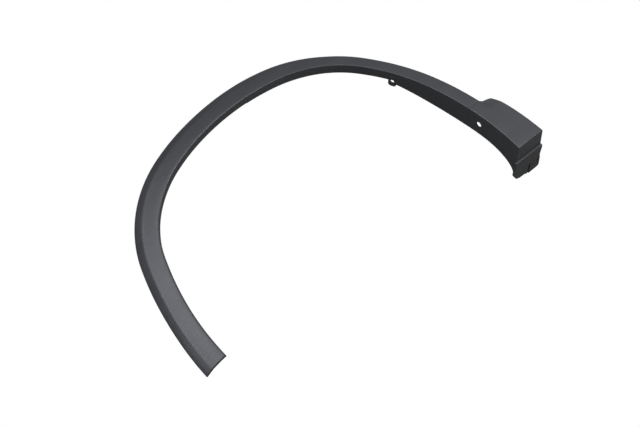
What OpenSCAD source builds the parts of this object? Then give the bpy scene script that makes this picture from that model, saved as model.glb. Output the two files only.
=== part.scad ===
// Wheel arch trim for the front wheel of a compact car, one moulding in black grained plastic.
// It lies face up. X runs from the sill end to the bumper end, Y up the car, Z out of the car.

/* [Arch line] */
// Direction in which the crease leaves the sill end, degrees from the line through both ends
sill_lean = 93.4; // [89:0.1:96]
// Radius of the crease along the sill leg
sill_r = 762; // [600:1:1000]
// Turn of the crease along the sill leg, degrees
sill_turn = 19.7; // [16:0.1:23]
// Radius of the crease round the rear shoulder
rear_r = 287; // [240:1:340]
// Turn of the crease round the rear shoulder, degrees
rear_turn = 47.8; // [42:0.1:52]
// Radius of the crease over the crown
crown_r = 489; // [400:1:600]
// Turn of the crease over the crown, degrees
crown_turn = 34.4; // [28:0.1:40]
// Radius of the crease round the front shoulder
front_r = 252; // [210:1:300]
// Turn of the crease round the front shoulder, degrees
front_turn = 43.6; // [38:0.1:49]
// Radius of the crease above the widened end
fender_r = 469; // [400:1:560]
// Turn of the crease above the widened end, degrees
fender_turn = 17.9; // [14:0.1:22]
// Radius of the crease along the widened end
bumper_r = 692; // [600:1:800]
// Turn of the crease along the widened end, degrees
bumper_turn = 21.8; // [19:0.1:25]

/* [Section] */
// Wall thickness of the moulding
wall = 2.8; // [2.2:0.1:3.4]
// Width of the face at the sill end
face_sill_w = 32; // [28:0.5:38]
// Width of the face at the rear shoulder
face_rear_w = 36; // [31:0.5:42]
// Width of the face at the crown
face_crown_w = 31.5; // [27:0.5:38]
// Width of the face above the widened end
face_front_w = 35.5; // [31:0.5:40]
// Fall of the face from the crease to its outer edge, degrees
face_fall = 8; // [4:0.5:11]
// Width of the outer bevel at the sill end
bevel_sill_w = 16; // [12:0.5:18]
// Width of the outer bevel at the rear shoulder
bevel_rear_w = 19; // [15:0.5:22]
// Width of the outer bevel from the crown to the bumper end
bevel_front_w = 7.5; // [6:0.5:10]
// Drop of the outer bevel along the sill leg
bevel_sill_drop = 9; // [7:0.5:12]
// Drop of the outer bevel over the crown
bevel_crown_drop = 12.5; // [10:0.5:15]

/* [Return lip] */
// Depth of the lip inside the wheel opening, along the sill leg
lip_sill_d = 20; // [19:0.5:26]
// Depth of the lip over the crown
lip_crown_d = 23.5; // [21:0.5:28]
// Depth of the lip from the screw tab to the widened end
lip_front_d = 52; // [44:0.5:58]
// Distance by which the lip stands into the opening along the sill leg
lip_sill_out = 3; // [0:0.5:4]
// Depth of the short lip at the sill end
lip_end_d = 9; // [8:0.5:12]
// Distance of the screw tab from the bumper end, along the crease
tab_from_end = 337; // [310:1:370]
// Width of the screw tab
tab_w = 19; // [17:0.5:23]
// Depth of the tip of the screw tab below the crease
tab_d = 39; // [37:0.5:43]
// Diameter of the screw hole in the tab
tab_hole_d = 9.5; // [6:0.5:10.5]
// Distance of the lip's fixing hole from the bumper end, along the crease
lip_hole_from_end = 115; // [95:1:130]
// Depth of the centre of the lip's fixing hole below the crease
lip_hole_d = 27; // [24:0.5:29]
// Diameter of the lip's fixing hole
lip_hole_w = 13; // [8:0.5:14]

/* [Bumper end] */
// Length of the widened end, along the crease
wide_l = 141; // [132:1:150]
// Width of the face just past the step that starts the widened end
wide_start_w = 58; // [50:0.5:60]
// Width of the face at the bumper end
wide_end_w = 76.5; // [70:0.5:82]
// Drop of the outer wall at the bumper end
wide_drop = 55; // [46:0.5:58]
// Depth of the end wall, down to the ledge
end_wall_d = 48.5; // [43:0.5:54]
// Depth of the tongue's tip below the crease
tongue_d = 121; // [110:0.5:128]
// Width of the fixing tongue
tongue_w = 84.5; // [79:0.5:88]
// Distance by which the ledge and tongue stand out of the end wall
ledge_out = 4; // [3:0.5:6]

/* [Ends] */
// Slant of the sill end from square, degrees
sill_slant = 8.5; // [0:0.5:12]
// Slant of the bumper end from square, degrees
bumper_slant = 9; // [0:0.5:12]

/* [Clip seats and ribs] */
// Number of clip seats behind the face
seats = 8; // [5:1:10]
// Length of a clip seat
seat_l = 22; // [18:1:26]
// Width of a clip seat
seat_w = 16; // [13:0.5:18]
// Gap under the face for the flange of a clip
seat_gap = 3.6; // [3:0.1:3.8]
// Diameter of the round end of a seat's keyhole slot
seat_hole_d = 8; // [6:0.5:9]
// Number of stiffening ribs between face and lip
ribs = 22; // [12:1:30]
// Thickness of a rib
rib_t = 1.6; // [1.2:0.1:2.2]

/* [Hidden] */
$fn = 48;

// Crease line: six arcs, each tangent to the one before, all turning towards the wheel
ARCS = [
    [sill_r, sill_turn], [rear_r, rear_turn], [crown_r, crown_turn],
    [front_r, front_turn], [fender_r, fender_turn], [bumper_r, bumper_turn]
];
DEG = 180 / PI;
function after(p, a) =
    let (h = p[2] - a[1])
    [p[0] + a[0] * (sin(p[2]) - sin(h)), p[1] - a[0] * (cos(p[2]) - cos(h)), h, p[3] + a[0] * a[1] / DEG];
function joints(i, p) = i == len(ARCS) ? [p] : concat([p], joints(i + 1, after(p, ARCS[i])));
JOINTS = joints(0, [0, 0, sill_lean, 0]);
LENGTH = JOINTS[len(ARCS)][3];

// Place on the crease at arc length s: x, y and heading
function arc_at(s) = max([for (i = [0 : len(ARCS) - 1]) if (i == 0 || s >= JOINTS[i][3]) i]);
function at(s) =
    let (i = arc_at(s), q = after(JOINTS[i], [ARCS[i][0], (s - JOINTS[i][3]) / ARCS[i][0] * DEG]))
    [q[0], q[1], q[2]];

// Smooth change from 0 at a to 1 at b, and through a list of [place, value] pairs
function ease(a, b, x) = 0.5 - 0.5 * cos(180 * min(max((x - a) / (b - a), 0), 1));
function through(k, x, i = 0) =
    i >= len(k) - 2 || x < k[i + 1][0]
        ? k[i][1] + (k[i + 1][1] - k[i][1]) * ease(k[i][0], k[i + 1][0], x)
        : through(k, x, i + 1);

// Stretches of the arch, as shares of its length or as distances from the bumper end
REAR_AT = 0.5;
CROWN_AT = 0.7;
FRONT_AT = 0.86;
WIDE_AT = LENGTH - wide_l;
WIDE_STEP = 5;
TURN_AT = WIDE_AT - 5.5;
TURN_UP = 3.5;
TAB_AT = LENGTH - tab_from_end;
DEEP_AT = TAB_AT + tab_w / 2;
LIP_STEP_AT = 0.514 * LENGTH;
LIP_STEP_L = 3;
EDGE_L = 0.6;
TIP_L = 4;
HOOK_L = 0.05 * LENGTH;
DIP = 3.5;
DIP_L = 34;
WIDE_FALL = 3;
WIDE_CURVE = 0.44;
WALL_CURVE = 1.6;

// Face width, bevel width and drop, face fall and, past the widening, dip of the face's outer half
function narrow_w(s) =
    through([[0, face_sill_w], [REAR_AT, face_rear_w], [CROWN_AT, face_crown_w], [FRONT_AT, face_front_w]],
        s / LENGTH);
function wide_w(s) =
    wide_start_w + (wide_end_w - wide_start_w)
        * pow(max(s - WIDE_AT - WIDE_STEP, 0) / (wide_l - WIDE_STEP), WIDE_CURVE);
function face_w(s) = narrow_w(s) + (wide_w(s) - narrow_w(s)) * ease(WIDE_AT - 1, WIDE_AT + WIDE_STEP, s);
function bevel_w(s) =
    through([[0, bevel_sill_w * 1.1], [0.1, bevel_sill_w], [0.42, bevel_sill_w * 0.4 + bevel_rear_w * 0.6],
        [0.52, bevel_rear_w], [0.75, bevel_front_w], [0.85, bevel_front_w], [0.9, bevel_front_w * 1.25],
        [1, bevel_front_w * 0.45]], s / LENGTH);
function bevel_drop(s) =
    bevel_sill_drop + (bevel_crown_drop - bevel_sill_drop) * ease(0.25, 0.62, s / LENGTH)
        + (wide_drop - bevel_crown_drop) * pow(max(s - WIDE_AT, 0) / wide_l, WALL_CURVE);
function fall(s) = face_fall + (WIDE_FALL - face_fall) * ease(TURN_AT, TURN_AT + TURN_UP, s);
function dip(s) =
    DIP * ease(WIDE_AT - 2, WIDE_AT + WIDE_STEP, s) * (1 - ease(WIDE_AT + WIDE_STEP, WIDE_AT + DIP_L, s));

// Lip depth at arc length s: a small step at the rear shoulder, a jump at the tab, then down to the tongue
END_CURVE = 0.072 * LENGTH;
END_CURVE_POWER = 0.39;
END_LIP_D = tongue_d * 0.71;
function deep_lip(s) =
    lip_front_d * (1 - 0.39 * pow(1 - min(max((s - DEEP_AT) / (WIDE_AT - DEEP_AT), 0), 1), 2));
function end_run(s) = min(max((s - LENGTH + END_CURVE) / END_CURVE, 0), 1);
function lip_d(s) =
    s < DEEP_AT
        ? through([
            [0, lip_end_d * 0.5], [TIP_L, lip_end_d], [HOOK_L, lip_sill_d], [LIP_STEP_AT, lip_sill_d],
            [LIP_STEP_AT + LIP_STEP_L, lip_sill_d + 1.5], [0.62 * LENGTH, lip_crown_d],
            [0.7 * LENGTH, lip_crown_d], [DEEP_AT, lip_crown_d - 1]
        ], s)
        : deep_lip(s) + (END_LIP_D - lip_front_d) * (1 - pow(1 - pow(end_run(s), 2), END_CURVE_POWER));

// Step of the lip into the opening at arc length s: largest at the sill end, gone at the rear shoulder
function lip_out(s) =
    lip_sill_out * through([[0, 1.3], [0.1, 1], [0.17, 1], [0.28, 0.3], [0.42, 0]], s / LENGTH);

// Height of the crease: lowest at the sill leg, where the lip rests, highest above the tongue's tip
END_X = JOINTS[len(ARCS)][0];
MIN_X = min([for (s = stations()) at(s)[0]]);
RISE = (tongue_d - lip_sill_d) / (END_X - MIN_X);
function crease_z(x) = lip_sill_d + RISE * (x - MIN_X);
// Slant of the section at arc length s, as its tangent: it is square to the crease away from the ends
function slant(s) =
    tan(sill_slant) * (1 - ease(0, HOOK_L, s)) + tan(bumper_slant) * max(s - WIDE_AT, 0) / wide_l;
// Point at offset n outwards from the crease and height z from it, at arc length s
function spot(s, n, z) =
    let (p = at(s), k = n * slant(s))
    [p[0] - sin(p[2]) * n - cos(p[2]) * k, p[1] + cos(p[2]) * n - sin(p[2]) * k, crease_z(p[0]) + z];

// Section at arc length s as offsets and heights: eleven outer corners, then the inside of the wall
CREASE_R = 2.5;
EDGE_R = 4;
CROWN = 0.5;
DRAFT = 0.04;
FOOT = 1.5;
function edge_z(s) = -face_w(s) * tan(fall(s)) - dip(s);
function bevel_a(s) = atan(bevel_drop(s) / bevel_w(s));
function inner_edge(s) =
    let (a = atan(-edge_z(s) / face_w(s)), b = bevel_a(s), k = wall / cos((b - a) / 2))
    [face_w(s) - k * sin((a + b) / 2), edge_z(s) - k * cos((a + b) / 2)];
function curve(a, c, b, t) = (1 - t) * (1 - t) * a + 2 * t * (1 - t) * c + t * t * b;
function section(s) =
    let (
        w = face_w(s), ze = edge_z(s), f = -ze / w, d = lip_d(s), b = bevel_a(s), o = -lip_out(s),
        lip_top = [o - DRAFT * CREASE_R, -CREASE_R + 0.6 * o],
        face_start = [CREASE_R, -CREASE_R * f],
        corner = [w, ze],
        on_face = [w - EDGE_R, -(w - EDGE_R) * f],
        on_bevel = corner + EDGE_R * [cos(b), -sin(b)],
        foot_z = ze - bevel_drop(s) - FOOT,
        back = max(s - wall, 0),
        q = inner_edge(back),
        mid = [w / 2, -w / 2 * tan(fall(s)) + CROWN]
    )
    [
        [o - DRAFT * d, -d],
        lip_top,
        curve(lip_top, [o, 0], face_start, 1 / 3),
        curve(lip_top, [o, 0], face_start, 2 / 3),
        face_start,
        mid,
        on_face,
        (on_face + 2 * corner + on_bevel) / 4,
        on_bevel,
        [w + bevel_w(s), ze - bevel_drop(s)],
        [w + bevel_w(s), foot_z],
        [q[0] + (q[1] - foot_z) / tan(bevel_a(back)), foot_z],
        q,
        [min(mid[0], q[0] - 6), mid[1] - wall],
        [o + wall, -wall * (1 + f) + 0.2 * o],
        [o + wall - DRAFT * d, -d]
    ];
CORNERS = 16;

// Arc lengths of the sections, closer where the form changes
function spread(a, b, n) = [for (i = [0 : n - 1]) a + (b - a) * i / n];
function stations() = concat(
    spread(0, TIP_L, 2),
    spread(TIP_L, HOOK_L, 4),
    spread(HOOK_L, LIP_STEP_AT, 36),
    spread(LIP_STEP_AT, LIP_STEP_AT + LIP_STEP_L, 2),
    spread(LIP_STEP_AT + LIP_STEP_L, DEEP_AT - EDGE_L, 22),
    spread(DEEP_AT - EDGE_L, DEEP_AT, 1),
    spread(DEEP_AT, TURN_AT, 14),
    spread(TURN_AT, TURN_AT + TURN_UP, 3),
    spread(TURN_AT + TURN_UP, WIDE_AT + WIDE_STEP, 5),
    spread(WIDE_AT + WIDE_STEP, LENGTH - END_CURVE, 6),
    spread(LENGTH - END_CURVE, LENGTH - wall, 8),
    [LENGTH - wall, LENGTH]
);
STATIONS = stations();
LAST = len(STATIONS) - 1;
SKIN = [for (s = STATIONS) for (c = section(s)) spot(s, c[0], c[1])];

// Faces of the moulding: strips between sections, the open sill end and the closed bumper end
function strip(i, j, k) =
    let (a = i * CORNERS + j, b = i * CORNERS + k, c = a + CORNERS, d = b + CORNERS) [[a, b, d], [a, d, c]];
function ring_cap(i) =
    [for (t = [[0, 15, 14], [0, 14, 1], [1, 14, 2], [2, 14, 3], [3, 14, 4], [4, 14, 13], [4, 13, 5],
        [5, 13, 12], [5, 12, 6], [6, 12, 7], [7, 12, 8], [8, 12, 9], [9, 12, 11], [9, 11, 10]])
        t + i * CORNERS * [1, 1, 1]];
function inner_cap(i) = [for (t = [[15, 11, 12], [15, 12, 13], [15, 13, 14]]) t + i * CORNERS * [1, 1, 1]];
function flip(faces) = [for (f = faces) [f[0], f[2], f[1]]];
FACES = concat(
    [for (i = [0 : LAST - 2]) for (j = [0 : CORNERS - 1]) for (f = strip(i, j, (j + 1) % CORNERS)) f],
    [for (j = [0 : 10]) for (f = strip(LAST - 1, j, j + 1)) f],
    strip(LAST - 1, 11, 15),
    strip(LAST - 1, 15, 0),
    ring_cap(0),
    inner_cap(LAST - 1),
    flip(ring_cap(LAST)),
    flip(inner_cap(LAST))
);

// Stands a child on the crease at arc length s: X along the arch, Y outwards, Z up from the crease
module on_arch(s, n = 0, z = 0) {
    p = at(s);
    translate(spot(s, n, z))
        rotate([0, 0, p[2]])
            children();
}

// Turns a child to the slope of the face at arc length s
module to_face(s) {
    p = at(s);
    rotate([-fall(s), -atan(RISE * cos(p[2])), 0])
        children();
}

module moulding() {
    polyhedron(points = SKIN, faces = FACES, convexity = 10);
}

// Clip seat: a low bridge under the face, open towards the bumper end, with a keyhole slot in its floor
SEAT_WALL = 1.8;
SEAT_SINK = 1.2;
module clip_seat(s) {
    n = face_w(s) * 0.48;
    h = seat_gap + SEAT_WALL + SEAT_SINK;
    on_arch(s, n, -n * tan(fall(s)) - wall)
        to_face(s)
            translate([-seat_l / 2, -seat_w / 2, SEAT_SINK - h])
                difference() {
                    cube([seat_l, seat_w, h]);
                    translate([SEAT_WALL, SEAT_WALL, SEAT_WALL])
                        cube([seat_l, seat_w - 2 * SEAT_WALL, seat_gap]);
                    translate([seat_l / 2, seat_w / 2, -1])
                        cylinder(h = SEAT_WALL + 2, d = seat_hole_d);
                    translate([seat_l / 2, seat_w / 2 - seat_hole_d * 0.35, -1])
                        cube([seat_l, seat_hole_d * 0.7, SEAT_WALL + 2]);
                }
}

// Stiffening rib: a gusset in the corner between face and lip
RIB_W = 13;
RIB_H = 14;
module rib(s) {
    f = tan(fall(s));
    x = wall / 2 - lip_out(s) - DRAFT * RIB_H / 2;
    on_arch(s)
        rotate([90, 0, 90])
            translate([0, 0, -rib_t / 2])
                linear_extrude(rib_t)
                    polygon([[x, -wall / 2 - wall / 2 * f], [RIB_W, -wall / 2 - RIB_W * f],
                        [RIB_W, -wall - 2 - RIB_W * f], [x + wall / 2 + 2, -RIB_H], [x, -RIB_H]]);
}

// Both rows start clear of the sill end and stop short of the widened end or of the end wall
FIRST_SEAT = 45;
FIRST_RIB = 80;
END_CLEAR = 20;
SEAT_STEP = (WIDE_AT - END_CLEAR - FIRST_SEAT) / (seats - 1);
RIB_STEP = (LENGTH - END_CLEAR - FIRST_RIB) / (ribs - 1);
module clip_seats() {
    for (i = [0 : seats - 1])
        clip_seat(FIRST_SEAT + i * SEAT_STEP);
}
module stiffening_ribs() {
    for (i = [0 : ribs - 1])
        rib(FIRST_RIB + i * RIB_STEP);
}

// Screw tab: a lug that hangs from the lip, with its hole
TAB_T = 3.6;
TAB_R = 8;
TAB_HOLE_Z = -25;
module tab_plate() {
    on_arch(TAB_AT, wall / 2 + DRAFT * TAB_HOLE_Z)
        rotate([90, 0, 0])
            translate([0, 0, -TAB_T / 2])
                linear_extrude(TAB_T)
                    union() {
                        translate([-tab_w / 2, -tab_d + TAB_R])
                            square([tab_w, tab_d - TAB_R - 12]);
                        translate([-tab_w / 2 + TAB_R, -tab_d])
                            square([tab_w - 2 * TAB_R, tab_d - 12]);
                        for (x = [-1, 1])
                            translate([x * (tab_w / 2 - TAB_R), -tab_d + TAB_R])
                                circle(TAB_R);
                    }
}
module across_lip(s, z, d) {
    on_arch(s, wall / 2 + DRAFT * z, z)
        rotate([90, 0, 0])
            cylinder(h = 12, d = d, center = true);
}

// End of the widened part: ledge, tongue, its side return and its recessed pocket
LEDGE_R = 2;
LEDGE_FALL = 2;
STEP_UP = 9;
SINK = 0.8;
NOTCH_W = 5;
NOTCH_H = 35;
POCKET_T = 1.2;
POCKET_W = 22;
POCKET_H = 22;
POCKET_Z = 12;
RETURN_L = 12;
RETURN_IN = 9;
END_IN = -3;
NOTCH_Y = tongue_w * 0.57;
module on_end() {
    on_arch(LENGTH)
        rotate([0, 0, bumper_slant])
            children();
}
function ledge_z(x) = -end_wall_d - (x - END_IN) * tan(LEDGE_FALL);
module tongue_outline() {
    w = tongue_w;
    d = tongue_d;
    polygon([
        [END_IN, ledge_z(END_IN)], [w - 6, ledge_z(w)], [w - 2, ledge_z(w) - 5], [w - 5, -d * 0.66],
        [w - 2, -d * 0.76], [w - 0.5, -d + 4], [w - 4, -d], [NOTCH_Y + NOTCH_W * 0.7, -d],
        [NOTCH_Y - NOTCH_W * 2.5, -d + STEP_UP], [w * 0.24, -d + STEP_UP + 1],
        [w * 0.09, -d + STEP_UP + 7], [2, -d + STEP_UP + 16], [END_IN - 1, -END_LIP_D]
    ]);
}
module tongue() {
    on_end()
        difference() {
            rotate([90, 0, 90])
                translate([0, 0, -SINK])
                    linear_extrude(ledge_out + SINK)
                        tongue_outline();
            translate([ledge_out - POCKET_T, (NOTCH_Y + tongue_w - POCKET_W) / 2, -tongue_d + POCKET_Z])
                cube([POCKET_T + 1, POCKET_W, POCKET_H]);
            translate([-SINK - 1, NOTCH_Y - NOTCH_W / 2, -tongue_d - 1])
                cube([ledge_out + SINK + 2, NOTCH_W, NOTCH_H + 1]);
        }
}
module ledge() {
    l = (tongue_w - END_IN - 4) / cos(LEDGE_FALL);
    on_end()
        translate([0, END_IN, -end_wall_d])
            rotate([-LEDGE_FALL, 0, 0]) {
                translate([-wall / 2, 0, -LEDGE_R])
                    cube([wall / 2 + ledge_out, l, 2 * LEDGE_R]);
                translate([ledge_out - LEDGE_R / 2, 0, 0])
                    rotate([-90, 0, 0])
                        cylinder(h = l, r = LEDGE_R);
            }
}
module side_return() {
    on_end()
        translate([ledge_out - RETURN_L, tongue_w - RETURN_IN, -tongue_d + LEDGE_R * 3])
            cube([RETURN_L - 1, wall, tongue_d - end_wall_d - LEDGE_R * 6]);
}

// The whole moulding, in one piece, moved so that its box stands centred over the origin
END = JOINTS[len(ARCS)];
END_TURN = END[2] + bumper_slant;
TONGUE_EDGE = [for (y = [END_IN, tongue_w - 0.5])
    [
        END[0] + ledge_out * cos(END_TURN) - y * sin(END_TURN),
        END[1] + ledge_out * sin(END_TURN) + y * cos(END_TURN)
    ]];
EDGES = concat(SKIN, TONGUE_EDGE);
function low(k) = min([for (p = EDGES) p[k]]);
function high(k) = max([for (p = EDGES) p[k]]);
module arch_trim() {
    color([0.20, 0.205, 0.215])
        translate([-(low(0) + high(0)) / 2, -(low(1) + high(1)) / 2, 0])
            difference() {
                union() {
                    moulding();
                    clip_seats();
                    stiffening_ribs();
                    tab_plate();
                    ledge();
                    tongue();
                    side_return();
                }
                across_lip(TAB_AT, TAB_HOLE_Z, tab_hole_d);
                across_lip(LENGTH - lip_hole_from_end, -lip_hole_d, lip_hole_w);
            }
}

arch_trim();
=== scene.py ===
"""A wheel arch trim in black grained plastic, lying face up on a white floor.

The CAD part gives the place and the size. Here its moulding is drawn again as one smooth
surface: a section with rounded corners, carried along the arch line.
Lengths below are in millimetres in the crease's own frame: X from the sill end to the bumper
end, Y up the car, Z out of the car. They become metres in the CAD's frame in to_frame().
"""

import math

import bmesh
import bpy
import numpy as np
from mathutils import Matrix, Vector

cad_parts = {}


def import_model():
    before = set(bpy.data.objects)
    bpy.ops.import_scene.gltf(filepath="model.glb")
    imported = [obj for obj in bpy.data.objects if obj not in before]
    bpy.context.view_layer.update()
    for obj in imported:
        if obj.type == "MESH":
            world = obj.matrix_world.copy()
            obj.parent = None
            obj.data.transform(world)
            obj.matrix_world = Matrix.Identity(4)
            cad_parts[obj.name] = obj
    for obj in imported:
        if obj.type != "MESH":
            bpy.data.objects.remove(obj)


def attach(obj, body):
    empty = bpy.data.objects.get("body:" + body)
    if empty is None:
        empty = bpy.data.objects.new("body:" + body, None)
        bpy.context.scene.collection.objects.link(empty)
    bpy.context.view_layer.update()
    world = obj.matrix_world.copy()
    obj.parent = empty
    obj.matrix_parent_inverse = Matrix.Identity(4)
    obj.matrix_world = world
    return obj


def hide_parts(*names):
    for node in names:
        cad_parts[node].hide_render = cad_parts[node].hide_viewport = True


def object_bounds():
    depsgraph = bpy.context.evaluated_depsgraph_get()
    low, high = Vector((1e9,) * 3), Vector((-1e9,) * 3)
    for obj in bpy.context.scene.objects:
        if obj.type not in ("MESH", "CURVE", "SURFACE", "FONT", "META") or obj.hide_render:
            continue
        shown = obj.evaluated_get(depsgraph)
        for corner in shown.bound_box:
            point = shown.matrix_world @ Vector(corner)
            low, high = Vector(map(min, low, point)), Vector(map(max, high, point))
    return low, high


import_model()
cad_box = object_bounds()

MM = 0.001

# Arch line: its heading at the sill end, then radius and turn of its six arcs, turns in degrees
SILL_LEAN = 93.4
ARCS = np.array([(762, 19.7), (287, 47.8), (489, 34.4), (252, 43.6), (469, 17.9), (692, 21.8)])

# Section: widths across the arch, drops and radii, the face's fall in degrees, and the draft as
# a share of the depth
WALL = 2.8
FACE_SILL_W = 32
FACE_REAR_W = 36
FACE_CROWN_W = 31.5
FACE_FRONT_W = 35.5
FACE_FALL = 8
BEVEL_SILL_W = 16
BEVEL_REAR_W = 19
BEVEL_FRONT_W = 7.5
BEVEL_SILL_DROP = 9
BEVEL_CROWN_DROP = 12.5
CREASE_R = 2.5
CREASE_GROWS = 0.8
EDGE_R = 4
CROWN = 0.5
DRAFT = 0.04
FOOT = 1.5
RIM_R = 0.9
INNER_EDGE_R = 1.5
INNER_CREASE_R = 2

# Return lip
LIP_SILL_D = 20
LIP_CROWN_D = 23.5
LIP_FRONT_D = 52
LIP_SILL_OUT = 3
LIP_END_D = 9
LIP_STEP = 1.5
LIP_STEP_L = 3
LIP_RISE = 0.39
TAB_FROM_END = 337
TAB_W = 19
TAB_TOP = -12
TAB_D = 39
TAB_T = 3.6
TAB_R = 8
TAB_HOLE_D = 9.5
TAB_HOLE_Z = -25
LIP_HOLE_FROM_END = 115
LIP_HOLE_Z = -27
LIP_HOLE_W = 13

# Widened bumper end
WIDE_L = 141
WIDE_START_W = 58
WIDE_END_W = 76.5
WIDE_DROP = 55
WIDE_STEP = 5
WIDE_CURVE = 0.44
WALL_CURVE = 1.6
WIDE_FALL = 3
TURN_BEFORE = 5.5
TURN_UP = 3.5
DIP = 3.5
DIP_L = 34
DIP_ACROSS = (0.44, 0.8)
END_WALL_D = 48.5
TONGUE_D = 121
TONGUE_W = 84.5
TONGUE_SIDE = TONGUE_W - 0.5
LEDGE_OUT = 4
LEDGE_R = 2
LEDGE_FALL = 2
LEDGE_ENDS = 4
STEP_UP = 9
SINK = 0.8
NOTCH_Y = TONGUE_W * 0.57
NOTCH_W = 5
NOTCH_H = 35
POCKET_T = 1.2
POCKET_W = 22
POCKET_H = 22
POCKET_Z = 12
RETURN_L = 12
RETURN_IN = 9
END_IN = -3
SILL_SLANT = math.radians(8.5)
BUMPER_SLANT = math.radians(9)
END_ROUND = 1.6

# Reliefs of the face at the widening: each one's depth, then the spans in which it comes and goes,
# along the arch from the widening and across it from the crease
VALLEY = 1.5
VALLEY_COMES = (-18, -6)
VALLEY_GOES = (-TURN_BEFORE, TURN_UP - TURN_BEFORE)
VALLEY_INSIDE = (0, 6)
VALLEY_OUTSIDE = (FACE_FRONT_W - 10, FACE_FRONT_W - 2)
DENT = 1.3
DENT_COMES = (2, 18)
DENT_GOES = (20, 48)
DENT_INSIDE = (26, 42)
DENT_OUTSIDE = (42, 64)

# Clip seats and ribs, with the seats' place as a share of the face's width, and the slot's half
# width as a share of the hole
SEATS = 8
SEAT_PLACE = 0.48
SEAT_L = 22
SEAT_W = 16
SEAT_GAP = 3.6
SEAT_WALL = 1.8
SEAT_SINK = 1.2
SEAT_HOLE_D = 8
SLOT_HALF = 0.35
FIRST_SEAT = 45
RIBS = 22
RIB_T = 1.6
RIB_W = 13
RIB_H = 14
RIB_EDGE = 2
FIRST_RIB = 80
END_CLEAR = 20

# Edges sharper than these angles, in degrees, aren't shaded smooth, or are rounded by soften()
SHARP = 34
SOFTEN_FROM = 40

# How far the cutters of the bores reach to each side, and the points of curves
DRILL_L = 8
CURVE_POINTS = 4
END_RINGS = 6
FACE_STEPS = 24
FACE_MARGIN = 6

# Plastic: its colour and how far it varies to both sides, the scales of its patterns, its grain's
# strength and depth in metres, and its roughness with what the patterns and the cut end add
PLASTIC = (0.058, 0.060, 0.064)
TONE_RANGE = 0.18
CELL_SCALE = 620.0
FINE_SCALE = 1500.0
SPECK_SCALE = 300.0
MOTTLE_SCALE = 14.0
STREAK_SCALE = (6, 26, 26)
GRAIN_STRENGTH = 0.07
GRAIN_DEPTH = 0.00012
SPECULAR = 0.45
ROUGHNESS = 0.205
MOTTLE_ROUGH = 0.05
STREAK_ROUGH = 0.12
CUT_ROUGH = 0.4
# The sill's cut end, darkened by painted shade: the painted shade's colour, its thickness in
# millimetres, and its reach in metres
CUT_END_SHADE_COLOUR = (0.016, 0.016, 0.018, 1)
CUT_SKIN = 1.4
EDGE_REACH = 0.08

# Floor, its size and gap in metres, and light: the share of white that gloss sees, the strength of
# the world's light and the size of the lamps
FLOOR_COLOUR = (0.12, 0.12, 0.12, 1)
FLOOR_HALF = 12.0
FLOOR_GAP = 0.0005
GLOSS_SEEN = 0.01
WORLD = 0.035
LAMP_SIZE = 0.8
PLAIN = (1, 1, 1)
COOL = (0.89, 0.92, 1.0)
# Each lamp's height angle and direction in degrees, reach in metres, power in watts and colour:
# the lamps in front and on the right, then the weaker ones behind, whose gloss lies on the
# sill's leg
LAMPS = (
    (60, 340, 1.5, 11.8, PLAIN),
    (50, 300, 2.6, 15, PLAIN),
    (62, 270, 2.6, 8.5, PLAIN),
    (35, 235, 2.6, 5.5, PLAIN),
    (50, 145, 2.6, 9.3, COOL),
    (50, 120, 2.6, 5.5, COOL),
    (66, 120, 2.6, 5.7, COOL),
    (66, 90, 2.6, 7.4, COOL),
    (36, 110, 2.6, 2.9, COOL),
)

# Camera: its angles, its distance, its aim point in the crease's frame, its focal length in pixels
# of an image 640 pixels wide, its sensor's width, and how far it sees in metres
CAM_TURN = 37.697
CAM_HEIGHT = 52.759
CAM_ROLL = 1.153
CAM_DISTANCE = 2725.6
AIM = (362.27, 179.97, 0)
FOCAL_PX = 1300
IMAGE_PX = 640
SENSOR = 36
SEES_TO = 50


def arc_joints():
    """Start of each arc, and the end of the last: x, y, heading and arc length. Each arc turns
    clockwise about a centre at its radius to the right of the heading."""
    x, y, h, s = 0.0, 0.0, math.radians(SILL_LEAN), 0.0
    joints = [(x, y, h, s)]
    for r, turn in ARCS:
        g = h - math.radians(turn)
        x += r * (math.sin(h) - math.sin(g))
        y -= r * (math.cos(h) - math.cos(g))
        s += r * math.radians(turn)
        h = g
        joints.append((x, y, h, s))
    return np.array(joints)


JOINTS = arc_joints()
LENGTH = JOINTS[-1, 3]
WIDE_AT = LENGTH - WIDE_L
TAB_AT = LENGTH - TAB_FROM_END
DEEP_AT = TAB_AT + TAB_W / 2
LIP_STEP_AT = 0.514 * LENGTH
HOOK_L = 0.05 * LENGTH
HOOK_TIP_L = 4
END_CURVE = 0.072 * LENGTH
END_CURVE_POWER = 0.39
END_LIP_D = TONGUE_D * 0.71


def arch(s):
    """Place and heading on the crease at arc length s, as arrays: on each arc the heading
    falls by s over the radius, and the place goes round the arc's centre."""
    s = np.asarray(s, float)
    i = np.clip(np.searchsorted(JOINTS[:, 3], s, side="right") - 1, 0, len(ARCS) - 1)
    x0, y0, h0, s0 = np.moveaxis(JOINTS[i], -1, 0)
    r = ARCS[i, 0]
    h = h0 - (s - s0) / r
    return x0 + r * (np.sin(h0) - np.sin(h)), y0 - r * (np.cos(h0) - np.cos(h)), h


def ease(a, b, x):
    """Half a cosine wave from 0 at a to 1 at b."""
    return 0.5 - 0.5 * np.cos(np.pi * np.clip((x - a) / (b - a), 0, 1))


def hump(comes, goes, x):
    """Eases from 0 to 1 within the first span, and back to 0 within the second."""
    return ease(*comes, x) * (1 - ease(*goes, x))


def through(places, values, x):
    """Goes through the values at their places, with ease between each pair."""
    y = np.full_like(np.asarray(x, float), values[0])
    for a, b, u, v in zip(places, places[1:], values, values[1:]):
        y += (v - u) * ease(a, b, x)
    return y


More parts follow.
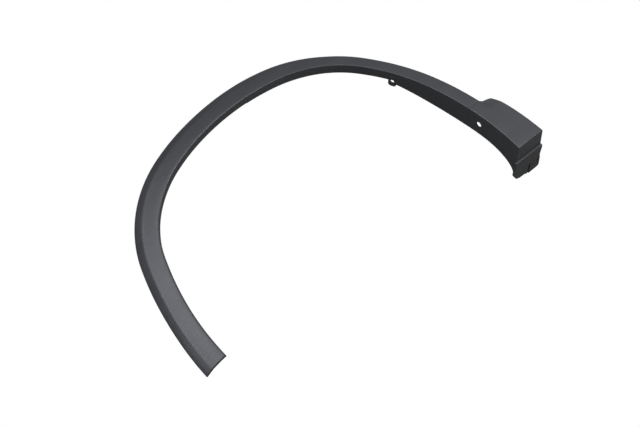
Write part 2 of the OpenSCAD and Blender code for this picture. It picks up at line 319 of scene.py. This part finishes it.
def face_w(s):
    """Width of the face: slowly varying, then a jump to the wide end, which grows by a power."""
    widths = (FACE_SILL_W, FACE_REAR_W, FACE_CROWN_W, FACE_FRONT_W)
    narrow = through((0, 0.5, 0.7, 0.86), widths, s / LENGTH)
    run = np.clip((s - WIDE_AT - WIDE_STEP) / (WIDE_L - WIDE_STEP), 0, None)
    wide = WIDE_START_W + (WIDE_END_W - WIDE_START_W) * run**WIDE_CURVE
    return narrow + (wide - narrow) * ease(WIDE_AT - 1, WIDE_AT + WIDE_STEP, s)


def bevel_w(s):
    """Width of the bevel outside the face's edge: widest at the rear, narrow from the crown on."""
    places = (0, 0.1, 0.42, 0.52, 0.75, 0.85, 0.9, 1)
    mid = 0.4 * BEVEL_SILL_W + 0.6 * BEVEL_REAR_W
    widths = (BEVEL_SILL_W * 1.1, BEVEL_SILL_W, mid, BEVEL_REAR_W)
    widths += (BEVEL_FRONT_W, BEVEL_FRONT_W, BEVEL_FRONT_W * 1.25, BEVEL_FRONT_W * 0.45)
    return through(places, widths, s / LENGTH)


def bevel_drop(s):
    """Drop from the face's edge to the bevel's foot, which grows by a power along the wide end."""
    crown = (BEVEL_CROWN_DROP - BEVEL_SILL_DROP) * ease(0.25, 0.62, s / LENGTH)
    end = (WIDE_DROP - BEVEL_CROWN_DROP) * (np.clip(s - WIDE_AT, 0, None) / WIDE_L) ** WALL_CURVE
    return BEVEL_SILL_DROP + crown + end


def fall(s):
    """Fall of the face towards its outer edge, in radians."""
    turn = ease(WIDE_AT - TURN_BEFORE, WIDE_AT - TURN_BEFORE + TURN_UP, s)
    return np.radians(FACE_FALL + (WIDE_FALL - FACE_FALL) * turn)


def dip(s):
    """Dip of the face's outer half, just past the widening."""
    lowest = WIDE_AT + WIDE_STEP
    return DIP * hump((WIDE_AT - 2, lowest), (lowest, WIDE_AT + DIP_L), s)


def relief(s, n):
    """Shallow relief of the face at the widening: a valley across it just before the turn, and a
    dent that carries the narrow part's bevel on into the wide part."""
    past = s - WIDE_AT
    valley = hump(VALLEY_COMES, VALLEY_GOES, past) * hump(VALLEY_INSIDE, VALLEY_OUTSIDE, n)
    dent = hump(DENT_COMES, DENT_GOES, past) * hump(DENT_INSIDE, DENT_OUTSIDE, n)
    return VALLEY * valley + DENT * dent


def edge_z(s):
    """Height of the face's outer edge from the crease."""
    return -face_w(s) * np.tan(fall(s)) - dip(s)


def lip_d(s):
    """Depth of the return lip: a jump at the screw tab, then down to the tongue on a curve."""
    places = (0, HOOK_TIP_L, HOOK_L, LIP_STEP_AT, LIP_STEP_AT + LIP_STEP_L)
    depths = (LIP_END_D * 0.5, LIP_END_D, LIP_SILL_D, LIP_SILL_D, LIP_SILL_D + LIP_STEP)
    places += (0.62 * LENGTH, 0.7 * LENGTH, DEEP_AT)
    depths += (LIP_CROWN_D, LIP_CROWN_D, LIP_CROWN_D - 1)
    run = np.clip((s - DEEP_AT) / (WIDE_AT - DEEP_AT), 0, 1)
    end = np.clip((s - LENGTH + END_CURVE) / END_CURVE, 0, 1)
    down = (END_LIP_D - LIP_FRONT_D) * (1 - (1 - end**2) ** END_CURVE_POWER)
    deep = LIP_FRONT_D * (1 - LIP_RISE * (1 - run) ** 2) + down
    return np.where(s < DEEP_AT, through(places, depths, s), deep)


def lip_out(s):
    """How far the lip stands out into the wheel opening, at the sill's leg alone."""
    return LIP_SILL_OUT * through((0, 0.1, 0.17, 0.28, 0.42), (1.3, 1, 1, 0.3, 0), s / LENGTH)


def slant(s):
    """How far the section slides back along the arch for each millimetre outwards."""
    run = np.clip((s - WIDE_AT) / WIDE_L, 0, None)
    return math.tan(SILL_SLANT) * (1 - ease(0, HOOK_L, s)) + math.tan(BUMPER_SLANT) * run


S_FINE = np.linspace(0, LENGTH, 4000)
MIN_X = arch(S_FINE)[0].min()
RISE = (TONGUE_D - LIP_SILL_D) / (JOINTS[-1, 0] - MIN_X)


def spot(s, n, z):
    """Points at offset n outwards from the crease and height z from it, at arc length s.
    Each offset also slides back along the arch by the slant of the section there."""
    x, y, h = arch(s)
    back = n * slant(s)
    along = x - np.sin(h) * n - np.cos(h) * back
    up = y + np.cos(h) * n - np.sin(h) * back
    return np.stack([along, up, LIP_SILL_D + RISE * (x - MIN_X) + z], axis=-1)


def rounded(corners, cuts, counts):
    """Rounds a ring of corners: each becomes an arc of a quadratic curve that starts and ends
    at its cut distance before and after the corner, or just short of the middle of a side that is
    too short for it. corners is (..., K, 2)."""
    before = np.roll(corners, 1, axis=-2)
    after = np.roll(corners, -1, axis=-2)
    rows = []
    for k, (cut, count) in enumerate(zip(cuts, counts)):
        c = corners[..., k, :]
        if count == 1:
            rows.append(c[..., None, :])
            continue
        a = before[..., k, :] - c
        b = after[..., k, :] - c
        a = c + a * np.minimum(cut / np.linalg.norm(a, axis=-1), 0.49)[..., None]
        b = c + b * np.minimum(cut / np.linalg.norm(b, axis=-1), 0.49)[..., None]
        t = np.linspace(0, 1, count)[:, None]
        a, b, c = a[..., None, :], b[..., None, :], c[..., None, :]
        rows.append((1 - t) ** 2 * a + 2 * t * (1 - t) * c + t**2 * b)
    return np.concatenate(rows, axis=-2)


# Points that each corner of the section becomes, in the order of sections()
OUTER_COUNTS = (4, 1, 1, 7) + (1,) * FACE_STEPS + (7, 1, 4, 4)
INNER_COUNTS = (4, 4, 1, 1, 4, 1, 4)
N_OUTER = sum(OUTER_COUNTS)


def sections(s):
    """Rounded section at each arc length, as offsets and heights: the outer corners from the
    lip's rim over crease and face to the bevel's foot, then the inside of the wall."""
    w, ze, d, o = face_w(s), edge_z(s), lip_d(s), -lip_out(s)
    bw, bd = bevel_w(s), bevel_drop(s)
    f = -ze / w
    outer = [(o - DRAFT * d * share, -d * share) for share in (1, 0.6, 0.35)] + [(o, 0 * s)]
    # the face falls in a straight line and bulges from it by a parabola, less the dip and reliefs
    for k in range(FACE_STEPS):
        t = (FACE_MARGIN + (w - 2 * FACE_MARGIN) * k / (FACE_STEPS - 1)) / w
        bulged = (ze + dip(s)) * t + CROWN * 4 * t * (1 - t)
        outer.append((t * w, bulged - dip(s) * ease(*DIP_ACROSS, t) - relief(s, t * w)))
    foot = ze - bd - FOOT
    outer += [(w, ze), (w + bw / 2, ze - bd / 2), (w + bw, ze - bd), (w + bw, foot)]
    back = np.maximum(s - WALL, 0)
    wb, zb = face_w(back), edge_z(back)
    a, b = np.arctan(-zb / wb), np.arctan(bevel_drop(back) / bevel_w(back))
    k = WALL / np.cos((b - a) / 2)
    # the inside's corner under the face's edge, a wall's thickness from face and bevel, then two
    # points on the way back under the face, and the lip's inner side
    qn, qz = wb - k * np.sin((a + b) / 2), zb - k * np.cos((a + b) / 2)
    inner = [
        (qn + (qz - foot) / np.tan(b), foot),
        (qn, qz),
        (qn * 0.66, qz * 0.66 - WALL * 0.34),
        (qn * 0.33, qz * 0.33 - WALL * 0.67),
        (o + WALL, -WALL * (1 + f) + 0.2 * o),
        (o + WALL - DRAFT * d / 2, -d / 2),
        (o + WALL - DRAFT * d, -d),
    ]
    corners = np.stack([np.stack(np.broadcast_arrays(n, z), -1) for n, z in outer + inner], axis=-2)
    crease = CREASE_R - CREASE_GROWS * o
    cuts = (RIM_R, 0, 0, crease) + (0,) * FACE_STEPS + (EDGE_R, 0, RIM_R, RIM_R)
    cuts += (RIM_R, INNER_EDGE_R, 0, 0, INNER_CREASE_R, 0, RIM_R)
    return rounded(corners, cuts, OUTER_COUNTS + INNER_COUNTS)


def stations():
    """Arc lengths of the sections, from spans with their counts: close together where the form
    changes."""
    spans = (
        (0, HOOK_TIP_L, 8),
        (HOOK_TIP_L, HOOK_L, 34),
        (HOOK_L, LIP_STEP_AT - 1, 260),
        (LIP_STEP_AT - 1, LIP_STEP_AT + 4, 12),
        (LIP_STEP_AT + 4, DEEP_AT - 0.5, 160),
        (DEEP_AT - 0.5, DEEP_AT, 1),
        (DEEP_AT, WIDE_AT - 10, 90),
        (WIDE_AT - 10, WIDE_AT + 8, 54),
        (WIDE_AT + 8, LENGTH - END_CURVE, 44),
        (LENGTH - END_CURVE, LENGTH - WALL, 50),
    )
    lengths = [np.linspace(a, b, n, endpoint=False) for a, b, n in spans]
    return np.concatenate([*lengths, [LENGTH - WALL]])


def ring_faces(rows, cols, closed=True):
    """Quads between neighbouring rings of a grid of rows by cols points."""
    across = np.arange(cols if closed else cols - 1)
    i, j = np.meshgrid(np.arange(rows - 1), across, indexing="ij")
    k = (j + 1) % cols
    quads = np.stack([i * cols + j, (i + 1) * cols + j, (i + 1) * cols + k, i * cols + k], axis=-1)
    return quads.reshape(-1, 4)


def skin():
    """Vertices and faces of the moulding: closed rings of sections up to the end wall's inside,
    then the outside alone, drawn in on a quarter round, and one flat face to close the end."""
    s = stations()
    c = sections(s)
    rings = spot(s[:, None], c[..., 0], c[..., 1])
    rows, cols = rings.shape[:2]
    # each ring of the end's round is its section, moved in along the section's own normals
    angle = np.linspace(0, np.pi / 2, END_RINGS)
    end_s = LENGTH - END_ROUND * (1 - np.sin(angle))
    outline = sections(end_s)[:, :N_OUTER]
    tangent = np.gradient(outline, axis=1)
    tangent /= np.linalg.norm(tangent, axis=2)[..., None]
    inward = np.stack([tangent[..., 1], -tangent[..., 0]], axis=2)
    outline = outline + END_ROUND * (1 - np.cos(angle))[:, None, None] * inward
    caps = spot(end_s[:, None], outline[..., 0], outline[..., 1])
    last = (rows - 1) * cols
    cap = rows * cols
    near = cap + np.arange(len(angle)) * N_OUTER
    far = near + N_OUTER - 1
    j = np.arange(N_OUTER - 1)
    quads = [
        ring_faces(rows, cols),
        np.stack([last + j, cap + j, cap + j + 1, last + j + 1], axis=1),
        ring_faces(len(angle), N_OUTER, closed=False) + cap,
    ]
    polygons = [
        np.arange(cols),
        np.r_[last + N_OUTER - 1 : last + cols, last],
        np.r_[last + N_OUTER - 1, far, near[::-1], last],
        near[-1] + np.arange(N_OUTER),
    ]
    points = np.concatenate([rings.reshape(-1, 3), caps.reshape(-1, 3)])
    return points, np.concatenate(quads), polygons


def arch_axes(s, turn=0.0):
    """Axes at arc length s: along the arch, outwards and up, turned about up."""
    h = float(arch(s)[2]) + turn
    return np.array([[math.cos(h), math.sin(h), 0], [-math.sin(h), math.cos(h), 0], [0, 0, 1]])


def end_frame():
    """Place and axes of the end wall: out of it, across it and up."""
    return spot(LENGTH, 0, 0), arch_axes(LENGTH, BUMPER_SLANT)


def outermost():
    """The moulding's outermost line, at the foot of the bevel, and the tongue's outer corners."""
    origin, axes = end_frame()
    corners = origin + np.array([(LEDGE_OUT, END_IN, 0), (LEDGE_OUT, TONGUE_SIDE, 0)]) @ axes
    return np.concatenate([spot(S_FINE, face_w(S_FINE) + bevel_w(S_FINE), 0), corners])


SHIFT = np.append((outermost().min(0) + outermost().max(0))[:2] / 2, 0)


def to_frame(points):
    """From millimetres in the crease's frame to metres in the CAD's, centred on the moulding."""
    return (points - SHIFT) * MM


def soften(obj, width):
    """Rounds a piece's sharp edges by a width in millimetres."""
    round_edges = obj.modifiers.new("rounded_edges", "BEVEL")
    round_edges.width = width * MM
    round_edges.segments = 3
    round_edges.limit_method = "ANGLE"
    round_edges.angle_limit = math.radians(SOFTEN_FROM)


def piece(name, verts, faces, material, bevel=None):
    """A closed mesh object, with its faces turned outwards and its flat faces shaded flat."""
    mesh = bpy.data.meshes.new(name)
    mesh.from_pydata(to_frame(verts), [], [tuple(int(v) for v in f) for f in faces])
    mesh.validate()
    turn_outwards(mesh)
    obj = bpy.data.objects.new(name, mesh)
    bpy.context.collection.objects.link(obj)
    mesh.materials.append(material)
    mesh.shade_smooth()
    mesh.set_sharp_from_angle(angle=math.radians(SHARP))
    if bevel:
        soften(obj, bevel)
    return obj


def turn_outwards(mesh):
    """Turns a closed mesh's faces outwards."""
    work = bmesh.new()
    work.from_mesh(mesh)
    bmesh.ops.recalc_face_normals(work, faces=work.faces)
    work.to_mesh(mesh)
    work.free()


def face_axes(s):
    """Axes turned to the slope of the face: first by its fall, then by the rise of the arch."""
    h = float(arch(s)[2])
    a = -float(fall(s))
    b = -math.atan(RISE * math.cos(h))
    tilt = Matrix.Rotation(h, 3, "Z") @ Matrix.Rotation(b, 3, "Y") @ Matrix.Rotation(a, 3, "X")
    return np.array(tilt).T


def prism(outline, low, high, origin, axes, order=(0, 1, 2)):
    """A plate: its outline in two of the axes, drawn out from low to high along the third."""
    outline = np.asarray(outline, float)
    count = len(outline)
    layers = []
    for level in (low, high):
        local = np.empty((count, 3))
        local[:, order[0]] = outline[:, 0]
        local[:, order[1]] = outline[:, 1]
        local[:, order[2]] = level
        layers.append(origin + local @ axes)
    faces = [list(range(count))[::-1], list(range(count, 2 * count))]
    faces += [[k, (k + 1) % count, (k + 1) % count + count, k + count] for k in range(count)]
    return np.concatenate(layers), faces


def merged(solids):
    """One list of vertices and faces from several closed solids."""
    verts, faces, start = [], [], 0
    for v, f in solids:
        verts.append(v)
        faces += [[k + start for k in face] for face in f]
        start += len(v)
    return np.concatenate(verts), faces


def bar(low, high, origin, axes):
    """A block between two opposite corners."""
    (x0, y0, z0), (x1, y1, z1) = low, high
    return prism([(x0, y0), (x1, y0), (x1, y1), (x0, y1)], z0, z1, origin, axes)


def rod(radius, low, high, origin, axes, sides=32, order=(0, 1, 2)):
    """A round bar: a circle drawn out along the third axis of order."""
    t = np.linspace(0, 2 * np.pi, sides, endpoint=False)
    return prism(radius * np.stack([np.cos(t), np.sin(t)], 1), low, high, origin, axes, order)


def tongue():
    """Fixing tongue below the end wall, with its notch and a rib behind its outer side."""
    origin, axes = end_frame()
    w, d = TONGUE_W, TONGUE_D
    left, right = NOTCH_Y - NOTCH_W / 2, NOTCH_Y + NOTCH_W / 2
    # each corner's place across and up, and how far its rounding reaches: down the lip's side,
    # along the lower edge with the notch, and up the outer side
    corners = (
        (END_IN, ledge_z(END_IN), 0),
        (END_IN - 1, -END_LIP_D, 2),
        (2, -d + STEP_UP + 16, 3),
        (w * 0.09, -d + STEP_UP + 7, 3),
        (w * 0.24, -d + STEP_UP + 1, 3),
        (NOTCH_Y - NOTCH_W * 2.5, -d + STEP_UP, 3),
        (left, -d + STEP_UP / 3, 1),
        (left, -d + NOTCH_H, 1.2),
        (right, -d + NOTCH_H, 1.2),
        (right, -d, 1),
        (w - 4, -d, 1.5),
        (TONGUE_SIDE, -d + 4, 1.5),
        (w - 2, -d * 0.76, 3),
        (w - 5, -d * 0.66, 3),
        (w - 2, ledge_z(w) - 5, 2),
        (w - 6, ledge_z(w), 0),
    )
    cuts = [corner[2] for corner in corners]
    places = np.array([corner[:2] for corner in corners], float)
    outline = rounded(places, cuts, [1 if cut == 0 else CURVE_POINTS for cut in cuts])
    plate = prism(outline, -SINK, LEDGE_OUT, origin, axes, (1, 2, 0))
    rib_low = (LEDGE_OUT - RETURN_L, w - RETURN_IN, -d + LEDGE_R * 3)
    rib_high = (LEDGE_OUT - 1, w - RETURN_IN + WALL, -END_WALL_D - LEDGE_R * 3)
    return merged([plate, bar(rib_low, rib_high, origin, axes)])


def ledge_z(n):
    """Height of the ledge's middle line, which falls slightly outwards."""
    return -END_WALL_D - (n - END_IN) * math.tan(math.radians(LEDGE_FALL))


def ledge():
    """Ledge across the foot of the end wall: a bar with a half-round nose."""
    origin, axes = end_frame()
    t = np.linspace(np.pi / 2, -np.pi / 2, 10)
    middle = LEDGE_OUT - LEDGE_R / 2
    nose = np.stack([middle + LEDGE_R * np.cos(t), LEDGE_R * np.sin(t)], 1)
    outline = np.concatenate([nose, [(-WALL / 2, -LEDGE_R), (-WALL / 2, LEDGE_R)]])
    tilt = np.array(Matrix.Rotation(-math.radians(LEDGE_FALL), 3, "X")).T
    start = origin + np.array([0, END_IN, -END_WALL_D]) @ axes
    length = (TONGUE_W - LEDGE_ENDS - END_IN) / math.cos(math.radians(LEDGE_FALL))
    return prism(outline, 0, length, start, tilt @ axes, (0, 2, 1))


def pocket_cutter():
    """Block that sinks a shallow pocket into the tongue's face."""
    origin, axes = end_frame()
    middle = (NOTCH_Y + TONGUE_W) / 2
    low = (LEDGE_OUT - POCKET_T, middle - POCKET_W / 2, -TONGUE_D + POCKET_Z)
    high = (LEDGE_OUT + 1, middle + POCKET_W / 2, -TONGUE_D + POCKET_Z + POCKET_H)
    return bar(low, high, origin, axes)


def screw_tab():
    """Tab with its hole: for each point of its outline there is one on the hole's circle, in the
    same direction."""
    half = TAB_W / 2
    corners = [(-half, TAB_TOP), (-half, -TAB_D), (half, -TAB_D), (half, TAB_TOP)]
    outline = rounded(np.array(corners, float), (0.5, TAB_R, TAB_R, 0.5), (2, 12, 12, 2))
    edges = np.roll(outline, -1, 0) - outline
    around = np.concatenate([outline + edges * t for t in (0, 1 / 3, 2 / 3)])
    around = around - [0, TAB_HOLE_Z]
    around = around[np.argsort(np.arctan2(around[:, 1], around[:, 0]))]
    hole = around / np.linalg.norm(around, axis=1)[:, None] * TAB_HOLE_D / 2
    n = len(around)
    origin = spot(TAB_AT, WALL / 2 + DRAFT * TAB_HOLE_Z, 0) + [0, 0, TAB_HOLE_Z]
    axes = arch_axes(TAB_AT)
    rings = []
    for ring, level in ((hole, -1), (around, -1), (around, 1), (hole, 1)):
        local = np.stack([ring[:, 0], np.full(n, level * TAB_T / 2), ring[:, 1]], 1)
        rings.append(origin + local @ axes)
    here = np.arange(n)
    there = (here + 1) % n
    faces = [
        np.stack([a * n + here, b * n + here, b * n + there, a * n + there], 1)
        for a, b in ((0, 1), (1, 2), (2, 3), (3, 0))
    ]
    return np.concatenate(rings), np.concatenate(faces)


def clip_seat(s):
    """Low bridge under the face: a floor with a keyhole slot, and a wall on three sides of it."""
    n = float(face_w(s)) * SEAT_PLACE
    height = SEAT_GAP + SEAT_WALL + SEAT_SINK
    origin = spot(s, n, -n * math.tan(float(fall(s))) - WALL)
    axes = face_axes(s)
    l, w, t = SEAT_L / 2, SEAT_W / 2, SEAT_WALL
    low = SEAT_SINK - height
    half = SEAT_HOLE_D * SLOT_HALF
    start = math.asin(half / (SEAT_HOLE_D / 2))
    turn = np.linspace(start, 2 * np.pi - start, 24)
    key = SEAT_HOLE_D / 2 * np.stack([np.cos(turn), np.sin(turn)], 1)
    floor = [(l, half), *key, (l, -half), (l, -w), (-l, -w), (-l, w), (l, w)]
    walls = [(l, w), (-l, w), (-l, -w), (l, -w)]
    walls += [(l, t - w), (t - l, t - w), (t - l, w - t), (l, w - t)]
    return [
        prism(floor, low, low + t, origin, axes),
        prism(walls, low + t / 2, SEAT_SINK, origin, axes),
    ]


def rib(s):
    """Gusset in the corner between face and lip."""
    f = math.tan(float(fall(s)))
    x = WALL / 2 - float(lip_out(s)) - DRAFT * RIB_H / 2
    outline = [
        (x, -WALL / 2 - WALL / 2 * f),
        (RIB_W, -WALL / 2 - RIB_W * f),
        (RIB_W, -WALL - RIB_EDGE - RIB_W * f),
        (x + WALL / 2 + RIB_EDGE, -RIB_H),
        (x, -RIB_H),
    ]
    return prism(outline, -RIB_T / 2, RIB_T / 2, spot(s, 0, 0), arch_axes(s), (1, 2, 0))


def lip_drill(s, z, diameter):
    """Round cutter across the lip at arc length s."""
    origin = spot(s, WALL / 2 + DRAFT * z, z)
    return rod(diameter / 2, -DRILL_L, DRILL_L, origin, arch_axes(s), 48, (0, 2, 1))


def cut(obj, *solids):
    """Takes closed solids away from a piece, for good."""
    verts, faces = merged(solids)
    mesh = bpy.data.meshes.new("cutter")
    mesh.from_pydata(to_frame(verts), [], [tuple(f) for f in faces])
    turn_outwards(mesh)
    cutter = bpy.data.objects.new("cutter", mesh)
    bpy.context.collection.objects.link(cutter)
    bore = obj.modifiers.new("bore", "BOOLEAN")
    bore.operation = "DIFFERENCE"
    bore.solver = "EXACT"
    bore.object = cutter
    bpy.context.view_layer.update()
    carved = obj.evaluated_get(bpy.context.evaluated_depsgraph_get())
    result = bpy.data.meshes.new_from_object(carved)
    obj.modifiers.remove(bore)
    old = obj.data
    obj.data = result
    result.name = old.name
    bpy.data.meshes.remove(old)
    bpy.data.objects.remove(cutter)
    bpy.data.meshes.remove(mesh)
    result.shade_smooth()
    result.set_sharp_from_angle(angle=math.radians(SHARP))


class Link:
    """One output of a shader node. Its operators add the Math nodes of an expression."""

    def __init__(self, tree, socket):
        self.tree, self.socket = tree, socket

    def math(self, operation, a, b):
        return self.tree.add("ShaderNodeMath", {"operation": operation}, {0: a, 1: b})[0]

    def __add__(self, other):
        return self.math("ADD", self, other)

    def __mul__(self, other):
        return self.math("MULTIPLY", self, other)

    __radd__ = __add__
    __rmul__ = __mul__


class Tree:
    """The nodes of a material or of the world. add() takes a node's type, its settings and what
    goes into its sockets."""

    def __init__(self, owner):
        owner.use_nodes = True
        self.owner = owner
        self.nodes = owner.node_tree.nodes
        self.links = owner.node_tree.links
        self.nodes.clear()

    def add(self, kind, settings=None, inputs=None):
        node = self.nodes.new(kind)
        for key, value in (settings or {}).items():
            setattr(node, key, value)
        for key, value in (inputs or {}).items():
            if isinstance(value, Link):
                self.links.new(value.socket, node.inputs[key])
            else:
                node.inputs[key].default_value = value
        return [Link(self, socket) for socket in node.outputs]

    def noise(self, place, scale, detail, roughness=0.5):
        inputs = {"Vector": place, "Scale": scale, "Detail": detail, "Roughness": roughness}
        return self.add("ShaderNodeTexNoise", None, inputs)[0]

    def measure(self, operation, place, point):
        settings = {"operation": operation}
        return self.add("ShaderNodeVectorMath", settings, {0: place, 1: tuple(point)})[1]

    def mix(self, factor, a, b):
        return self.add("ShaderNodeMix", {"data_type": "RGBA"}, {0: factor, 6: a, 7: b})[2]


def cut_end_shade_mask(tree, place):
    """1 on the sill's cut end, which gets painted shade and is made matt, and 0 elsewhere: a slice
    along the end's plane, within EDGE_REACH of it."""
    start = to_frame(spot(0, 0, 0))
    along, outwards, _ = arch_axes(0)
    normal = math.cos(SILL_SLANT) * along + math.sin(SILL_SLANT) * outwards
    inside = tree.measure("DOT_PRODUCT", place, normal)
    reach = tree.measure("DISTANCE", place, start)
    low = float(start @ normal) + CUT_SKIN * MM
    span = {0: inside, 1: low, 2: low + CUT_SKIN * MM, 3: 1.0, 4: 0.0}
    strip = tree.add("ShaderNodeMapRange", None, span)[0]
    return strip * strip.math("LESS_THAN", reach, EDGE_REACH)


def grained_plastic():
    """Unpainted black plastic with a fine moulded grain: rounded cells and a finer noise for the
    bump, a slow mottle and faint crosswise streaks for colour and roughness, and a matt cut end
    darkened by painted shade."""
    tree = Tree(bpy.data.materials.new("grained_plastic"))
    # the fourth output is Object
    place = tree.add("ShaderNodeTexCoord")[3]
    round_cells = {"Vector": place, "Scale": CELL_SCALE, "Smoothness": 0.6}
    cells = tree.add("ShaderNodeTexVoronoi", {"feature": "SMOOTH_F1"}, round_cells)[0]
    fine = tree.noise(place, FINE_SCALE, 2.0)
    mottle = tree.noise(place, MOTTLE_SCALE, 3.0, 0.6)
    stretched = tree.add("ShaderNodeMapping", None, {0: place, 3: STREAK_SCALE})[0]
    streaks = tree.noise(stretched, 1.0, 2.0)
    speck = tree.noise(place, SPECK_SCALE, 2.0)
    grain = cells * 0.7 + fine * 0.3
    shade = mottle * 0.3 + streaks * 0.5 + speck * 0.2
    dark = (*[c * (1 - TONE_RANGE) for c in PLASTIC], 1)
    pale = (*[c * (1 + TONE_RANGE) for c in PLASTIC], 1)
    shaded_matt_cut_end = cut_end_shade_mask(tree, place)
    # painted shade: the sill's cut end takes a darker colour here, and more roughness below
    colour = tree.mix(shaded_matt_cut_end, tree.mix(shade, dark, pale), CUT_END_SHADE_COLOUR)
    roughness = mottle * MOTTLE_ROUGH + streaks * STREAK_ROUGH + ROUGHNESS + shaded_matt_cut_end * CUT_ROUGH
    bump = {"Strength": GRAIN_STRENGTH, "Distance": GRAIN_DEPTH, "Height": grain}
    normal = tree.add("ShaderNodeBump", None, bump)[0]
    surface = {"Base Color": colour, "Roughness": roughness, "Normal": normal}
    surface["Specular IOR Level"] = SPECULAR
    shader = tree.add("ShaderNodeBsdfPrincipled", None, surface)[0]
    tree.add("ShaderNodeOutputMaterial", None, {"Surface": shader})
    return tree.owner


def white_where_seen(tree, shader):
    """White to the camera and to glass, and to gloss at the share GLOSS_SEEN. All other light meets
    the shader itself, so a surface still takes the shadow."""
    path = tree.add("ShaderNodeLightPath")
    is_camera, is_glossy, is_transmission = path[0], path[3], path[6]
    seen = is_camera + is_glossy * GLOSS_SEEN + is_transmission
    white = tree.add("ShaderNodeEmission", None, {"Color": (1, 1, 1, 1), "Strength": 1.0})[0]
    factor = seen.math("MINIMUM", seen, 1.0)
    return tree.add("ShaderNodeMixShader", None, {0: factor, 1: shader, 2: white})[0]


def floor():
    """Pale floor, just under the trim's lowest point."""
    tree = Tree(bpy.data.materials.new("floor_white"))
    pale = tree.add("ShaderNodeBsdfDiffuse", None, {"Color": FLOOR_COLOUR})[0]
    tree.add("ShaderNodeOutputMaterial", None, {"Surface": white_where_seen(tree, pale)})
    mesh = bpy.data.meshes.new("floor")
    half = FLOOR_HALF
    corners = [(-half, -half, 0), (half, -half, 0), (half, half, 0), (-half, half, 0)]
    mesh.from_pydata(corners, [], [(0, 1, 2, 3)])
    mesh.materials.append(tree.owner)
    obj = bpy.data.objects.new("floor", mesh)
    obj.location.z = cad_box[0][2] - FLOOR_GAP
    bpy.context.collection.objects.link(obj)


def lamp(height, direction, reach, power, colour):
    """Square lamp at its reach from the origin, turned towards it."""
    a, b = math.radians(height), math.radians(direction)
    place = reach * Vector((math.cos(a) * math.cos(b), math.cos(a) * math.sin(b), math.sin(a)))
    light = bpy.data.lights.new("lamp", "AREA")
    light.shape = "SQUARE"
    light.size = LAMP_SIZE
    light.energy = power
    light.color = colour
    obj = bpy.data.objects.new("lamp", light)
    obj.location = place
    obj.rotation_euler = (-place).to_track_quat("-Z", "Y").to_euler()
    bpy.context.collection.objects.link(obj)


def world(strength):
    """Dim light from all around, behind the same white that the floor shows."""
    tree = Tree(bpy.data.worlds.new("studio"))
    dim = tree.add("ShaderNodeBackground", None, {"Strength": strength})[0]
    tree.add("ShaderNodeOutputWorld", None, {"Surface": white_where_seen(tree, dim)})
    bpy.context.scene.world = tree.owner


def camera():
    """Camera of the photograph: its turn about up, its height angle and its roll, then its
    distance from the aim point along its own line of sight."""
    turn, height, roll = (math.radians(a) for a in (CAM_TURN, CAM_HEIGHT, CAM_ROLL))
    right = np.array([math.cos(turn), -math.sin(turn), 0])
    level = math.cos(height)
    ahead = np.array([math.sin(turn) * level, math.cos(turn) * level, -math.sin(height)])
    up = np.cross(right, ahead)
    side = math.cos(roll) * right + math.sin(roll) * up
    top = math.cos(roll) * up - math.sin(roll) * right
    place = to_frame(np.array(AIM)) - ahead * CAM_DISTANCE * MM
    data = bpy.data.cameras.new("camera")
    data.sensor_width = SENSOR
    data.lens = SENSOR * FOCAL_PX / IMAGE_PX
    data.clip_end = SEES_TO
    obj = bpy.data.objects.new("camera", data)
    axes = Matrix((side, top, -ahead)).transposed().to_4x4()
    obj.matrix_world = Matrix.Translation(place) @ axes
    bpy.context.collection.objects.link(obj)
    bpy.context.scene.camera = obj


plastic = grained_plastic()
verts, quads, polygons = skin()
moulding = piece("moulding", verts, [*quads, *polygons], plastic)
tab_bore = lip_drill(TAB_AT, TAB_HOLE_Z, TAB_HOLE_D)
lip_bore = lip_drill(LENGTH - LIP_HOLE_FROM_END, LIP_HOLE_Z, LIP_HOLE_W)
cut(moulding, tab_bore, lip_bore)
fixing_tongue = piece("fixing_tongue", *tongue(), plastic)
cut(fixing_tongue, pocket_cutter())
soften(fixing_tongue, width=0.5)
pieces = [moulding, fixing_tongue]
pieces.append(piece("ledge", *ledge(), plastic, bevel=0.5))
pieces.append(piece("screw_tab", *screw_tab(), plastic, bevel=0.4))
seat_places = np.linspace(FIRST_SEAT, WIDE_AT - END_CLEAR, SEATS)
seats = [solid for s in seat_places for solid in clip_seat(s)]
pieces.append(piece("clip_seats", *merged(seats), plastic, bevel=0.3))
rib_places = np.linspace(FIRST_RIB, LENGTH - END_CLEAR, RIBS)
ribs = merged([rib(s) for s in rib_places])
pieces.append(piece("stiffening_ribs", *ribs, plastic, bevel=0.25))
for part in pieces:
    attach(part, "root")
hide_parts("arch_trim")

floor()
world(WORLD)
for settings in LAMPS:
    lamp(*settings)
camera()

bpy.context.scene.view_settings.view_transform = "Standard"
bpy.context.view_layer.update()
